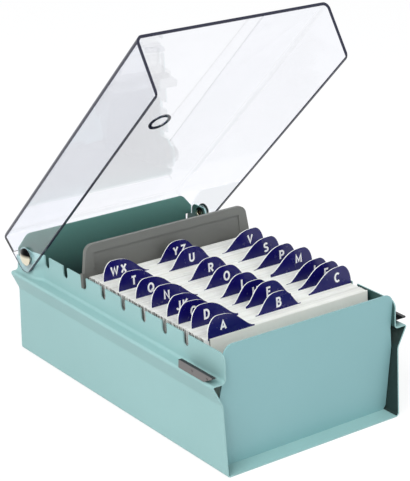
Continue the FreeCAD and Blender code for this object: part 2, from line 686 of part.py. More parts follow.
def cylinder(name, side, start, end, radius):
    """A round piece along X between two distances from the middle, on the hinge axis."""
    solid = document.addObject("Part::Cylinder", name)
    bind(solid, Radius=radius, Height=f"{end} - ({start})")
    axis = FreeCAD.Vector(0, side, 0)
    set_place(solid, f"{side} * ({start})", PIVOT_Y, PIVOT_Z, "90", axis)
    return solid


def make_hinge(word, side):
    """A domed tubular rivet and the washer between its head and the lid, on one side."""
    ear_in = f"({EAR_HALF} - sheet)"
    tail = f"({ear_in} - rolled_thick)"
    washer = f"({LID_OUTSIDE} + washer_gap)"
    seat = f"({washer} + washer_thick)"
    head = "(rivet_wide / 2 + head_lip)"
    radius = f"(({head} ^ 2 + dome_high ^ 2) / (2 * dome_high))"
    dome = document.addObject("Part::Sphere", f"dome_{word}")
    bind(dome, Radius=radius, Angle1=f"asin(({radius} - dome_high) / {radius})")
    centre = f"{side} * ({seat} + head_rim + dome_high - {radius})"
    set_place(dome, centre, PIVOT_Y, PIVOT_Z, "90", FreeCAD.Vector(0, side, 0))
    shank = cylinder(f"shank_{word}", side, tail, f"{seat} + head_rim", "rivet_wide / 2")
    rolled = cylinder(f"rolled_{word}", side, tail, ear_in, "rivet_wide / 2 + rolled_lip")
    rim = cylinder(f"rim_{word}", side, seat, f"{seat} + head_rim", head)
    whole = combined("MultiFuse", f"rivet_body_{word}", dome, rim, shank, rolled)
    hollow = "rivet_wide / 2 - rivet_wall"
    bore = cylinder(f"bore_{word}", side, f"{tail} - overrun", f"{tail} + bore_deep", hollow)
    rivet = combined("Cut", f"rivet_{word}", whole, bore)
    ring = cylinder(f"ring_{word}", side, washer, seat, "rivet_wide / 2 + washer_lip")
    eye_radius = "rivet_wide / 2 + pin_clear"
    eye = cylinder(f"eye_{word}", side, f"{washer} - overrun", f"{seat} + overrun", eye_radius)
    return [rivet, combined("Cut", f"washer_{word}", ring, eye)]


def make_lid_rest(word, side):
    """A plastic strip on the ledge: its foot takes the lid's rim and its wall guides the lid."""
    body = document.addObject("PartDesign::Body", f"lid_rest_{word}")
    out = f"({LIP_HALF} - rest_edge)"
    section = [
        (f"{out} - rest_reach", LIP_Z),
        (out, LIP_Z),
        (out, f"{LIP_Z} + rest_high"),
        (f"{out} - rest_thick", f"{LIP_Z} + rest_high"),
        (f"{out} - rest_thick", f"{LIP_Z} + rest_foot"),
        (f"{out} - rest_reach", f"{LIP_Z} + rest_foot"),
    ]
    section = [(f"{side} * ({x})", z) for x, z in section]
    pad(body, "strip", outline(body, "section", "XZ_Plane", section), "rest_long")
    tip = "-rest_long / 2"
    bevel = [
        (f"{tip} + rest_bevel", LIP_Z),
        (tip, f"{LIP_Z} + rest_high - rest_nose"),
        (f"{tip} - overrun", f"{LIP_Z} + rest_high - rest_nose"),
        (f"{tip} - overrun", f"{LIP_Z} - overrun"),
        (f"{tip} + rest_bevel", f"{LIP_Z} - overrun"),
    ]
    cut(body, "bevel", outline(body, "bevel_shape", "YZ_Plane", bevel), f"2 * ({LIP_HALF} + overrun)")
    spots = [
        (f"rest_long / 2 - {share} * rest_long", f"{LIP_Z} + rest_high / 2", "pip_wide / 2")
        for share in PIP_SHARES
    ]
    pips = circles(body, "pip_spots", "YZ_Plane", *spots)
    pips.setExpression(".AttachmentOffset.Base.z", bound(f"{side} * ({out} - rest_thick / 2)"))
    feature = pad(body, "pips", pips, "rest_thick / 2 + pip_high", both=False)
    feature.Reversed = side < 0
    set_place(body, y="-base_long / 2 + rest_inset + rest_long / 2")
    document.recompute()
    return body


def tab_edges(column, right, depth, high):
    """A tab's curved upper edge as curves from left to right.

    A side tab rises in a quarter ellipse near the edge of the card and falls away in a long
    double curve. A middle tab falls away in that curve to both sides.
    """
    tall = number("tab_high")
    middle = column == "middle"
    steep = number("tab_half" if middle else "tab_steep")
    slope = number("tab_half" if middle else "tab_slope")
    steps = [i / CURVE_STEPS for i in range(CURVE_STEPS + 1)]
    fall = [
        (slope * u, tall * (1 + math.cos(math.pi * u ** CURVE_POWER)) / 2) for u in steps
    ]
    if middle:
        rise = [(-x, z) for x, z in reversed(fall)]
        apex = 0
    else:
        rise = [
            (-steep * math.cos(math.pi / 2 * u), tall * math.sin(math.pi / 2 * u)) for u in steps
        ]
        apex = number("tab_inset") + steep - right
    curves = []
    for points in (rise, fall):
        spots = [FreeCAD.Vector(apex + x, depth, high + z) for x, z in points]
        if column == "right":
            spots = [FreeCAD.Vector(-spot.x, depth, spot.z) for spot in reversed(spots)]
        curve = Part.BSplineCurve()
        curve.interpolate(spots)
        curves.append(curve.toShape())
    return curves[::-1] if column == "right" else curves


def make_divider(word, column, share):
    """A card-sized sheet with one tab in the left, middle or right column."""
    right = number("card_wide / 2")
    high = number("card_high")
    thick = number("divider_thick")
    depth = -thick / 2
    corners = [
        FreeCAD.Vector(right, depth, high), FreeCAD.Vector(right, depth, 0),
        FreeCAD.Vector(-right, depth, 0), FreeCAD.Vector(-right, depth, high),
    ]
    curves = tab_edges(column, right, depth, high)
    first = curves[0].firstVertex().Point
    last = curves[-1].lastVertex().Point
    lines = []
    if last.distanceToPoint(corners[0]) > TOUCH:
        lines.append(Part.makeLine(last, corners[0]))
    lines += [Part.makeLine(a, b) for a, b in zip(corners, corners[1:])]
    if first.distanceToPoint(corners[-1]) > TOUCH:
        lines.append(Part.makeLine(corners[-1], first))
    wire = Part.Wire(Part.__sortEdges__(curves + lines))
    feature = document.addObject("Part::Feature", f"divider_{word}")
    feature.Shape = Part.Face(wire).extrude(FreeCAD.Vector(0, thick, 0))
    set_place(feature, y=place(share), z="sheet + foot_clear", turn="-lean")
    return feature


def place(share):
    """How far back a divider's foot stands."""
    return f"({STACK_FRONT} + {share} * ({STACK_REAR} - {STACK_FRONT}))"


def make_cards(word, front, rear):
    """A pack of cards between two places on the floor, leaning back like the rest."""
    pack = document.addObject("Part::Wedge", f"cards_{word}")
    back = "card_high * sin(lean * 1 deg)"
    bind(
        pack,
        Xmin="-card_wide / 2", Xmax="card_wide / 2",
        X2min="-card_wide / 2", X2max="card_wide / 2",
        Ymin="0", Ymax="card_high * cos(lean * 1 deg)",
        Zmin=f"{front} - ({rear})", Zmax="0",
        Z2min=f"{front} - ({rear}) - {back}", Z2max=f"-{back}",
    )
    set_place(pack, y=front, z="sheet", turn="90")
    return pack


def make_stack():
    """The dividers and the packs of cards before, between and behind them."""
    half = "(divider_thick / 2 + divider_clear) / cos(lean * 1 deg)"
    pieces = []
    front = STACK_FRONT
    word = "front"
    for name, column, share in DIVIDER_SHARES:
        pieces.append(make_cards(word, front, f"{place(share)} - {half}"))
        pieces.append(make_divider(name, column, share))
        front = f"({place(share)} + {half})"
        word = name
    pieces.append(make_cards(word, front, STACK_REAR))
    return pieces


def main():
    """Build every piece, test it and write it to its own file."""
    pieces = [make_base_tray()]
    make_panels()
    pieces += [document.getObject("front_panel"), document.getObject("rear_panel")]
    pieces.append(make_follower_plate())
    pieces.append(make_lid())
    for word, side in (("left", -1), ("right", 1)):
        pieces += make_hinge(word, side)
        pieces.append(make_lid_rest(word, side))
    pieces += make_stack()
    document.recompute()
    for thing in document.Objects:
        if {"Invalid", "Error"} & set(thing.State):
            raise RuntimeError(f"{thing.Label} has failed: {thing.State}")
    os.makedirs("parts", exist_ok=True)
    for piece in pieces:
        shape = piece.Shape
        if shape.isNull() or not shape.isValid() or not shape.Solids:
            raise RuntimeError(f"{piece.Label} has no sound shape")
        shape.exportStep(f"parts/{piece.Label}.step")
        print(piece.Label, len(shape.Solids), round(shape.Volume, 1))


main()
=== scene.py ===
"""A steel card tray with a clear hinged lid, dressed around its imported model.

The model keeps the bent steel, the lid and the fittings. This script adds the index cards, one by
one, the lettered dividers and the turned metal of the hinge, and gives every surface its finish.
The scene is in metres, with +Z up, the front towards -Y and the origin under the tray's middle.
The sizes named here are in millimetres, except those of lamps and floor, which are in metres.
"""

import logging
import math
from dataclasses import dataclass, field
from enum import Enum

import bmesh
import bpy
import numpy as np
from mathutils import Matrix, Vector


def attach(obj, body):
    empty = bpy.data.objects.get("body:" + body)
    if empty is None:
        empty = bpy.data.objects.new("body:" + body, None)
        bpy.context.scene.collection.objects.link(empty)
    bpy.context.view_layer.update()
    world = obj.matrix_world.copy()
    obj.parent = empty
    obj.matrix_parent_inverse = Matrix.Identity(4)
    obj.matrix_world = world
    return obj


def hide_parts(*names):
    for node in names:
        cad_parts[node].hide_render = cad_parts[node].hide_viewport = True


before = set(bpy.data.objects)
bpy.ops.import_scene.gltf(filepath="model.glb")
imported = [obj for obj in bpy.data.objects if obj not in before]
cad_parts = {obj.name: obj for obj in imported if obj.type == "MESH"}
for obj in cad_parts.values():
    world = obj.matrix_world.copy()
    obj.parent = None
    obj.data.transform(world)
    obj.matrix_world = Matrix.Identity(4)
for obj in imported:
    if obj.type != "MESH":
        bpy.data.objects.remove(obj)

LOG = logging.getLogger("card_tray")
MM = 0.001
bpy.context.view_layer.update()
HINGE_AXIS = Vector((0.0, 96.1 * MM, 73.2 * MM))

Socket = bpy.types.NodeSocket
Rgb = tuple[int, int, int]
Rgba = tuple[float, float, float, float]
Spot = tuple[float, float]
Line = tuple[list[Spot], bool]


class Column(Enum):
    """Where a divider carries its tab."""

    LEFT = "left"
    MIDDLE = "middle"
    RIGHT = "right"


LEFT, MIDDLE, RIGHT = Column


@dataclass(frozen=True)
class Stack:
    """The places that cards and dividers share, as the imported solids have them."""

    lean: float = math.radians(6.5)
    card_half: float = 63.5
    card_high: float = 76.2
    floor_top: float = 0.9
    foot_clear: float = 0.08
    front: float = -94.2
    rear: float = 27.372
    divider_half: float = 0.2
    divider_clear: float = 0.1

    def foot(self, share: float) -> float:
        """How far back a divider's foot stands, from its share of the stack."""
        return self.front + share * (self.rear - self.front)

    def gap(self) -> float:
        """Half of the room that a divider takes, measured along the floor."""
        return (self.divider_half + self.divider_clear) / math.cos(self.lean)

    def leaned(self, points: np.ndarray, foot: float) -> np.ndarray:
        """Lean upright points back about a foot line.

        Args:
            points: an array whose last axis is x, y and z; y is the depth and z the height.
            foot: how far back the foot line lies.

        Returns:
            The points turned about X by the lean and set down at the foot line.
        """
        x, y, z = points[..., 0], points[..., 1], points[..., 2]
        cosine, sine = math.cos(self.lean), math.sin(self.lean)
        turned = (x, y * cosine + z * sine + foot, z * cosine - y * sine)
        return np.stack(turned, axis=-1)


STACK = Stack()


@dataclass(frozen=True)
class Tab:
    """A divider: its word, which its tab says in capitals, its column and its share of the stack.

    across and raised tell how far to the right and how much too high its tab was glued on.
    """

    word: str
    column: Column
    share: float
    across: float
    raised: float


DIVIDERS = (
    Tab("a", LEFT, 0.011, 0.6, 0.4),
    Tab("b", MIDDLE, 0.090, -0.1, -0.8),
    Tab("c", RIGHT, 0.138, 2.0, 0.6),
    Tab("d", LEFT, 0.155, 1.9, 1.0),
    Tab("e", MIDDLE, 0.188, 2.0, 1.4),
    Tab("f", RIGHT, 0.219, 2.0, 0.6),
    Tab("g", LEFT, 0.238, -0.4, 0.0),
    Tab("h", MIDDLE, 0.268, -1.0, -0.5),
    Tab("i", RIGHT, 0.314, 2.0, -0.8),
    Tab("jk", LEFT, 0.344, 0.8, -0.3),
    Tab("l", MIDDLE, 0.372, -0.2, 0.0),
    Tab("m", RIGHT, 0.443, 2.0, 1.4),
    Tab("n", LEFT, 0.479, 1.2, 0.2),
    Tab("o", MIDDLE, 0.506, -0.6, -0.2),
    Tab("p", RIGHT, 0.565, 0.3, -0.2),
    Tab("q", LEFT, 0.619, 1.5, -0.8),
    Tab("r", MIDDLE, 0.648, 0.2, -0.5),
    Tab("s", RIGHT, 0.703, 0.7, -0.4),
    Tab("t", LEFT, 0.750, -0.2, -1.1),
    Tab("u", MIDDLE, 0.820, 0.7, -0.1),
    Tab("v", RIGHT, 0.853, 2.0, -0.3),
    Tab("wx", LEFT, 0.901, 1.0, 0.0),
    Tab("yz", MIDDLE, 0.938, 1.3, -0.1),
)


def grid_quads(rows: int, columns: int) -> np.ndarray:
    """Corner numbers of the faces of a grid of points.

    Args:
        rows: how many points the first parameter has.
        columns: how many points the second parameter has.

    Returns:
        One row of four point numbers for each face.
    """
    i, j = np.meshgrid(np.arange(rows - 1), np.arange(columns - 1), indexing="ij")
    first, last = i * columns, (i + 1) * columns
    quads = np.stack([first + j, first + j + 1, last + j + 1, last + j])
    return quads.reshape(4, -1).T


def mesh_piece(name: str, points: np.ndarray, quads: np.ndarray,
               smooth: bool = False) -> bpy.types.Object:
    """A new object at the origin from an array of points and one of faces.

    Args:
        name: the piece's name.
        points: places in metres, one row each.
        quads: the faces' point numbers, three or four in each row.
        smooth: whether the faces are shaded as one curved surface.

    Returns:
        The object, in the scene.
    """
    mesh = bpy.data.meshes.new(name)
    corners = quads.shape[1]
    mesh.vertices.add(len(points))
    mesh.vertices.foreach_set("co", np.ascontiguousarray(points, dtype=np.float32).ravel())
    mesh.loops.add(quads.size)
    mesh.loops.foreach_set("vertex_index", np.ascontiguousarray(quads, dtype=np.int32).ravel())
    mesh.polygons.add(len(quads))
    mesh.polygons.foreach_set("loop_start", np.arange(len(quads), dtype=np.int32) * corners)
    mesh.polygons.foreach_set("use_smooth", np.full(len(quads), smooth))
    mesh.update(calc_edges=True)
    mesh.validate()
    piece = bpy.data.objects.new(name, mesh)
    bpy.context.scene.collection.objects.link(piece)
    return piece


def face_rows(mesh: bpy.types.Mesh, what: str) -> np.ndarray:
    """The normals or centres of a mesh's faces, one row each."""
    rows = np.empty(len(mesh.polygons) * 3)
    mesh.polygons.foreach_get(what, rows)
    return rows.reshape(-1, 3)


def number_faces(mesh: bpy.types.Mesh, numbers: np.ndarray) -> None:
    """Tell each face which of the piece's materials it has."""
    mesh.polygons.foreach_set("material_index", numbers.astype(np.int32))
    mesh.update()


def tint_points(mesh: bpy.types.Mesh, tint: np.ndarray) -> None:
    """Store a colour for each point, which the card stock's finish takes up."""
    layer = mesh.color_attributes.new("tint", "FLOAT_COLOR", "POINT")
    layer.data.foreach_set("color", tint.astype(np.float32).ravel())


def announce(piece: bpy.types.Object, node: str, body: str) -> None:
    """Hide the node that a piece takes the place of, put the piece under its body's empty, and log
    it.
    """
    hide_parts(node)
    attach(piece, body)
    LOG.info("built %s", piece.name)


def boxes(low: np.ndarray, high: np.ndarray) -> tuple[np.ndarray, np.ndarray]:
    """Corner points and faces of many upright boxes at once.

    Args:
        low: each box's lowest corner, one row each.
        high: each box's highest corner, one row each.

    Returns:
        The points, eight for each box, and the faces, six for each box.
    """
    pick = np.array([[i, j, k] for i in (0, 1) for j in (0, 1) for k in (0, 1)])
    points = np.where(pick[None], high[:, None], low[:, None])
    faces = np.array([
        [0, 1, 3, 2], [4, 6, 7, 5], [0, 4, 5, 1], [2, 3, 7, 6], [0, 2, 6, 4], [1, 5, 7, 3],
    ])
    every = faces[None] + 8 * np.arange(len(low))[:, None, None]
    return points.reshape(-1, 3), every.reshape(-1, 4)


def slab(x: np.ndarray, low: np.ndarray, high: np.ndarray, half: float,
         rows: int) -> tuple[np.ndarray, np.ndarray, np.ndarray]:
    """A flat plate under a curve: two faces of rows by columns of points and the strip between.

    Args:
        x: the columns' places.
        low: the plate's lower edge at each column.
        high: the plate's upper edge at each column.
        half: half of the plate's thickness.
        rows: how many points each column has.

    Returns:
        The points, the faces, and a number for each face: 0 front, 1 back, 2 edge.
    """
    share = np.linspace(0.0, 1.0, rows)[:, None]
    z = low + share * (high - low)
    wide = np.broadcast_to(x, z.shape)
    sides = [
        np.stack([wide, np.full(z.shape, y), z], axis=-1).reshape(-1, 3) for y in (-half, half)
    ]
    front = grid_quads(rows, len(x))
    back = front[:, ::-1] + rows * len(x)
    ring = np.concatenate([
        np.arange(len(x)),
        np.arange(1, rows) * len(x) + len(x) - 1,
        (rows - 1) * len(x) + np.arange(len(x) - 2, -1, -1),
        np.arange(rows - 2, 0, -1) * len(x),
    ])
    after = np.roll(ring, -1)
    edge = np.stack([after, ring, ring + rows * len(x), after + rows * len(x)], axis=1)
    kinds = np.repeat([0, 1, 2], [len(front), len(back), len(edge)])
    return np.concatenate(sides), np.concatenate([front, back, edge]), kinds


def turned(name: str, profile: np.ndarray, centre: Vector, side: float,
           steps: int = 64) -> bpy.types.Object:
    """A closed turned piece about a line along X.

    Every point is (centre.x + side * along, centre.y + radius * cos t, centre.z + radius * sin t),
    for each along and radius in the profile and t over a full turn.

    Args:
        name: the piece's name.
        profile: rows of distance along X from the middle plane and radius, as a closed loop.
        centre: a point on the axis, with x 0.
        side: 1 on the right, -1 on the left.
        steps: how many points go round.

    Returns:
        The object.
    """
    angle = np.linspace(0.0, 2 * math.pi, steps, endpoint=False)
    along = np.repeat(profile[:, :1] * side, steps, axis=1)
    radius = profile[:, 1:]
    points = np.stack(
        [along, centre.y + radius * np.cos(angle), centre.z + radius * np.sin(angle)], axis=-1
    )
    count = len(profile)
    i, j = np.meshgrid(np.arange(count), np.arange(steps), indexing="ij")
    m, k = (i + 1) % count, (j + 1) % steps
    quads = np.stack([i * steps + j, m * steps + j, m * steps + k, i * steps + k])
    quads = quads.reshape(4, -1).T
    if side < 0:
        quads = quads[:, ::-1]
    return mesh_piece(name, points.reshape(-1, 3), quads, smooth=True)


def rounded_profile(corners: list[tuple[float, float, float]], steps: int = 5) -> np.ndarray:
    """A closed loop of straight runs joined by small arcs.

    Each corner is replaced by the curve of second degree that its two neighbours' directions give,
    started and ended one radius from it.

    Args:
        corners: along, radius and rounding of each corner.
        steps: how many points each rounding has.

    Returns:
        Rows of along and radius.
    """
    spots = np.array([corner[:2] for corner in corners])
    rounds = np.array([corner[2] for corner in corners])[:, None]
    before = np.roll(spots, 1, axis=0) - spots
    after = np.roll(spots, -1, axis=0) - spots
    before /= np.linalg.norm(before, axis=1, keepdims=True)
    after /= np.linalg.norm(after, axis=1, keepdims=True)
    start, end = spots + before * rounds, spots + after * rounds
    share = np.linspace(0.0, 1.0, steps)[None, :, None]
    rest = 1 - share
    curve = rest**2 * start[:, None] + 2 * share * rest * spots[:, None] + share**2 * end[:, None]
    return curve.reshape(-1, 2)


class Wiring:
    """A node tree, with one call that fills a socket and one that adds a node."""

    def __init__(self, tree: bpy.types.NodeTree) -> None:
        """Take up a tree and empty it."""
        self.tree = tree
        tree.nodes.clear()

    def feed(self, socket: Socket, value: object) -> None:
        """Give a socket a plain value or another node's output."""
        if isinstance(value, Socket):
            self.tree.links.new(value, socket)
        else:
            socket.default_value = value

    def node(self, kind: str, inputs: dict[str | int, object] | None = None,
             **settings: object) -> bpy.types.Node:
        """Add a node.

        Args:
            kind: the node's type, without the words ShaderNode that every type starts with.
            inputs: what its sockets get, by name or number.
            settings: its own properties, which are set first.

        Returns:
            The node.
        """
        node = self.tree.nodes.new(f"ShaderNode{kind}")
        for name, setting in settings.items():
            setattr(node, name, setting)
        for name, value in (inputs or {}).items():
            self.feed(node.inputs[name], value)
        return node


NUMBER = "NodeSocketFloat"
PLACE = ("NodeSocketVector", (0.0, 0.0, 0.0))
COLOUR = ("NodeSocketColor", (0.0, 0.0, 0.0, 1.0))


class NodeGroup(Wiring):
    """A shader node group in the making."""

    def __init__(self, name: str, inputs: dict[str, tuple[str, object]], *outputs: str) -> None:
        """Make the group and its sockets.

        Args:
            name: the group's name.
            inputs: each input's socket type and first value.
            outputs: the outputs' names, of which Color is a colour and any other a number.
        """
        super().__init__(bpy.data.node_groups.new(name, "ShaderNodeTree"))
        for label, (kind, value) in inputs.items():
            socket = self.tree.interface.new_socket(label, in_out="INPUT", socket_type=kind)
            socket.default_value = value
        for label in outputs:
            kind = COLOUR[0] if label == "Color" else NUMBER
            self.tree.interface.new_socket(label, in_out="OUTPUT", socket_type=kind)
        self.given = self.tree.nodes.new("NodeGroupInput").outputs
        self.result = self.tree.nodes.new("NodeGroupOutput").inputs


class Effects:
    """The node groups that several finishes share."""

    def __init__(self) -> None:
        """Build each group once."""
        self.mottle = self._mottle()
        self.grain = self._grain()
        self.fade = self._fade()

    @staticmethod
    def _fade() -> bpy.types.NodeTree:
        """A colour that passes from one tone to another between two heights."""
        inputs = {
            "Place": PLACE, "Below": COLOUR, "Above": COLOUR,
            "Low": (NUMBER, 0.0), "High": (NUMBER, 1.0),
        }
        group = NodeGroup("Fade", inputs, "Color")
        given = group.given
        parts = group.node("SeparateXYZ", {"Vector": given["Place"]})
        reach = group.node("MapRange", {
            "Value": parts.outputs["Z"], "From Min": given["Low"], "From Max": given["High"],
        })
        mix = group.node("Mix", {
            "Factor": reach.outputs["Result"], "A": given["Below"], "B": given["Above"],
        }, data_type="RGBA")
        group.feed(group.result["Color"], mix.outputs["Result"])
        return group.tree

    @staticmethod
    def _mottle() -> bpy.types.NodeTree:
        """A colour that drifts between two tones, in broad and finer patches."""
        inputs = {
            "Place": PLACE, "Tone": COLOUR, "Other Tone": COLOUR,
            "Scale": (NUMBER, 10.0), "Spread": (NUMBER, 1.0),
        }
        group = NodeGroup("Mottle", inputs, "Color")
        given = group.given
        noise = group.node("TexNoise", {
            "Vector": given["Place"], "Scale": given["Scale"], "Detail": 5.0, "Roughness": 0.6,
        })
        reach = group.node("MapRange", {
            "Value": noise.outputs["Fac"], "From Min": 0.3, "From Max": 0.7,
            "To Max": given["Spread"],
        })
        mix = group.node("Mix", {
            "Factor": reach.outputs["Result"], "A": given["Tone"], "B": given["Other Tone"],
        }, data_type="RGBA")
        group.feed(group.result["Color"], mix.outputs["Result"])
        return group.tree

    @staticmethod
    def _grain() -> bpy.types.NodeTree:
        """A fine even grain as a height, and a roughness that follows it."""
        inputs = {
            "Place": PLACE, "Scale": (NUMBER, 400.0),
            "Rough Low": (NUMBER, 0.4), "Rough High": (NUMBER, 0.5),
        }
        group = NodeGroup("Grain", inputs, "Height", "Roughness")
        given = group.given
        noise = group.node("TexNoise", {
            "Vector": given["Place"], "Scale": given["Scale"], "Detail": 3.0,
        })
        reach = group.node("MapRange", {
            "Value": noise.outputs["Fac"], "To Min": given["Rough Low"],
            "To Max": given["Rough High"],
        })
        group.feed(group.result["Height"], noise.outputs["Fac"])
        group.feed(group.result["Roughness"], reach.outputs["Result"])
        return group.tree


class Shading(Wiring):
    """A material's nodes around one Principled shader."""

    def __init__(self, name: str, effects: Effects) -> None:
        """Start a material with the shader on its output."""
        self.material = bpy.data.materials.new(name)
        self.material.use_nodes = True
        super().__init__(self.material.node_tree)
        self.effects = effects
        self.shader = self.node("BsdfPrincipled")
        self.output = self.node("OutputMaterial", {"Surface": self.shader.outputs["BSDF"]})
        self.place = self.node("TexCoord").outputs["Object"]

    def set(self, **values: object) -> None:
        """Fill the shader's inputs, with spaces for underscores in their names."""
        for name, value in values.items():
            self.feed(self.shader.inputs[name.replace("_", " ")], value)

    def drift(self, tone: object, other: Rgba, scale: float, spread: float) -> Socket:
        """A colour that drifts from one tone towards another.

        Args:
            tone: a colour, or another node's output.
            other: the other colour.
            scale: how fine the patches are.
            spread: how far the drift goes, up to 1.

        Returns:
            The colour's socket.
        """
        group = self.node("Group", {
            "Place": self.place, "Tone": tone, "Other Tone": other, "Scale": scale,
            "Spread": spread,
        }, node_tree=self.effects.mottle)
        return group.outputs["Color"]

    def grain(self, scale: float, rough: Spot, height: float, strength: float) -> None:
        """Give the surface a fine grain.

        Args:
            scale: how fine the grain is.
            rough: the least and the greatest roughness.
            height: the grain's height, in metres.
            strength: how much of it shows, up to 1.
        """
        group = self.node("Group", {
            "Place": self.place, "Scale": scale, "Rough Low": rough[0], "Rough High": rough[1],
        }, node_tree=self.effects.grain)
        bump = self.node("Bump", {
            "Strength": strength, "Distance": height, "Height": group.outputs["Height"],
        })
        self.set(Roughness=group.outputs["Roughness"], Normal=bump.outputs["Normal"])


def linear(tone: Rgb) -> Rgba:
    """A screen colour from 0 to 255 as the shader's linear values."""
    shares = np.array(tone) / 255.0
    values = np.where(shares <= 0.04045, shares / 12.92, ((shares + 0.055) / 1.055) ** 2.4)
    return (*[float(v) for v in values], 1.0)


def about(rough: float) -> Spot:
    """The usual range of roughness about a middle value."""
    return rough - 0.08, rough + 0.08


@dataclass(frozen=True)
class Coat:
    """An even surface with a fine grain: moulded plastic, unless its values say otherwise."""

    name: str
    tone: Rgb
    other: Rgb
    rough: Spot
    grain_scale: float = 700.0
    drift_scale: float = 14.0
    height: float = 0.0001
    strength: float = 0.6
    metallic: float = 0.0

    def build(self, effects: Effects) -> bpy.types.Material:
        """The finish as a material."""
        look = Shading(self.name, effects)
        colour = look.drift(linear(self.tone), linear(self.other), self.drift_scale, spread=1.0)
        look.set(Base_Color=colour, Metallic=self.metallic)
        look.grain(self.grain_scale, self.rough, self.height, self.strength)
        return look.material


ENAMEL = {
    "rough": (0.42, 0.56), "grain_scale": 650.0, "drift_scale": 9.0, "height": 0.00006,
    "strength": 0.5,
}
METAL = {
    "rough": (0.15, 0.375), "grain_scale": 900.0, "drift_scale": 200.0, "height": 0.00002,
    "strength": 0.3, "metallic": 1.0,
}


@dataclass(frozen=True)
class Shaded:
    """A finish that passes from one tone to another on its way up: painted shade darkening towards
    the floor for the tray's inside, rear panel and follower, and a painted reflection on the rivet
    heads.
    """

    name: str
    below: Rgb
    above: Rgb
    low: float
    high: float
    rough: float = 0.5
    grain_scale: float = 650.0
    metallic: float = 0.0

    def build(self, effects: Effects) -> bpy.types.Material:
        """The finish as a material."""
        look = Shading(self.name, effects)
        fade = look.node("Group", {
            "Place": look.place, "Below": linear(self.below), "Above": linear(self.above),
            "Low": self.low * MM, "High": self.high * MM,
        }, node_tree=effects.fade)
        colour = look.drift(fade.outputs["Color"], linear(self.above), scale=12.0, spread=0.08)
        look.set(Base_Color=colour, Metallic=self.metallic)
        look.grain(self.grain_scale, about(self.rough), height=0.00008, strength=0.5)
        return look.material


@dataclass(frozen=True)
class Paper:
    """Card stock: fibre in the surface, and a tone of its own for each card."""

    name: str
    tone: Rgb
    other: Rgb

    def build(self, effects: Effects) -> bpy.types.Material:
        """The finish as a material."""
        look = Shading(self.name, effects)
        tint = look.node("Attribute", attribute_name="tint")
        colour = look.drift(linear(self.tone), linear(self.other), scale=60.0, spread=0.6)
        mix = look.node("Mix", {
            "Factor": 1.0, "A": colour, "B": tint.outputs["Color"],
        }, data_type="RGBA", blend_type="MULTIPLY")
        look.set(Base_Color=mix.outputs["Result"], Specular_IOR_Level=0.2)
        look.grain(scale=1500.0, rough=(0.8, 0.95), height=0.00004, strength=0.4)
        return look.material


@dataclass(frozen=True)
class Clear:
    """Clear polished plastic that lets lamps through, with a tone that each surface adds."""

    name: str
    tone: Rgb
    other: Rgb
    shade: float

    def build(self, effects: Effects) -> bpy.types.Material:
        """The finish as a material."""
        look = Shading(self.name, effects)
        colour = look.drift(linear(self.tone), linear(self.other), scale=20.0, spread=1.0)
        look.set(Base_Color=colour, Roughness=0.015, IOR=1.49, Transmission_Weight=1.0)
        film = look.node("BsdfTransparent", {"Color": (self.shade,) * 3 + (1.0,)})
        mix = look.node("MixShader", {
            "Fac": look.node("LightPath").outputs["Is Shadow Ray"],
            1: look.shader.outputs["BSDF"], 2: film.outputs["BSDF"],
        })
        look.feed(look.output.inputs["Surface"], mix.outputs["Shader"])
        return look.material


@dataclass
class Finishes:
    """Every finish of the object, built once."""

    effects: Effects = field(default_factory=Effects)
    made: dict[str, bpy.types.Material] = field(default_factory=dict)

    KINDS = (
        Coat("teal_enamel", (153, 192, 191), (148, 187, 186), **ENAMEL),
        # A darker copy of the teal enamel for the front panel: painted shade.
        Coat("teal_front_painted_shade", (140, 184, 187), (135, 180, 183), **ENAMEL),
        # Painted shade on the tray's inward faces, darker towards the floor.
        Shaded("teal_inside_painted_shade", (24, 40, 38), (52, 86, 82), 50.0, 78.0),
        # Painted shade on both faces of the rear panel, darker towards the floor.
        Shaded("teal_rear_painted_shade", (30, 52, 50), (92, 140, 132), 48.0, 84.0),
        # Painted shade on the follower plate, darker towards the floor.
        Shaded("plate_grey_painted_shade", (70, 68, 64), (112, 114, 110), 62.0, 92.0, 0.5, 500.0),
        Coat("rest_grey", (112, 108, 106), (104, 100, 99), about(0.45)),
        # Painted shade on the lid rests' faces that don't point outwards.
        Coat("rest_painted_shade", (34, 34, 36), (28, 28, 31), about(0.42)),
        Coat("tab_blue", (17, 12, 96), (13, 10, 84), about(0.25), 300.0),
        Coat("letter_white", (248, 248, 248), (244, 244, 246), about(0.4), 600.0),
        Paper("card_white", (247, 248, 246), (240, 241, 237)),
        # Near black: painted shade on the cards' ends, between the cards.
        Coat("card_end_painted_shade", (8, 9, 11), (5, 6, 8), about(0.8)),
        # Beige below and black above: a painted reflection on the rivet heads.
        Shaded("chrome_painted_reflection", (232, 224, 202), (16, 16, 18), 73.2, 75.4, 0.1, 300.0, 1.0),
        Coat("turned_steel", (190, 190, 192), (176, 176, 178), **METAL),
        Clear("lid_clear", (250, 251, 255), (247, 248, 252), 0.97),
        # Dark navy: painted shade on the lid's cut edges, its left fold and its disc's ring.
        Coat("lid_edge_painted_shade", (18, 22, 52), (14, 18, 46), about(0.2), 300.0),
    )

    def __post_init__(self) -> None:
        """Build the materials."""
        for kind in self.KINDS:
            self.made[kind.name] = kind.build(self.effects)

    def dress(self, piece: bpy.types.Object, *names: str) -> None:
        """Give a piece its materials, in the order of its faces' numbers."""
        piece.data.materials.clear()
        for name in names:
            piece.data.materials.append(self.made[name])


@dataclass(frozen=True)
class Dress:
    """The look of one of the model's own pieces.

    Where another look is named, it is for the faces that point outwards less than the share least;
    that other look is painted shade.
    """

    node: str
    look: str
    other: str = ""
    least: float = 0.0


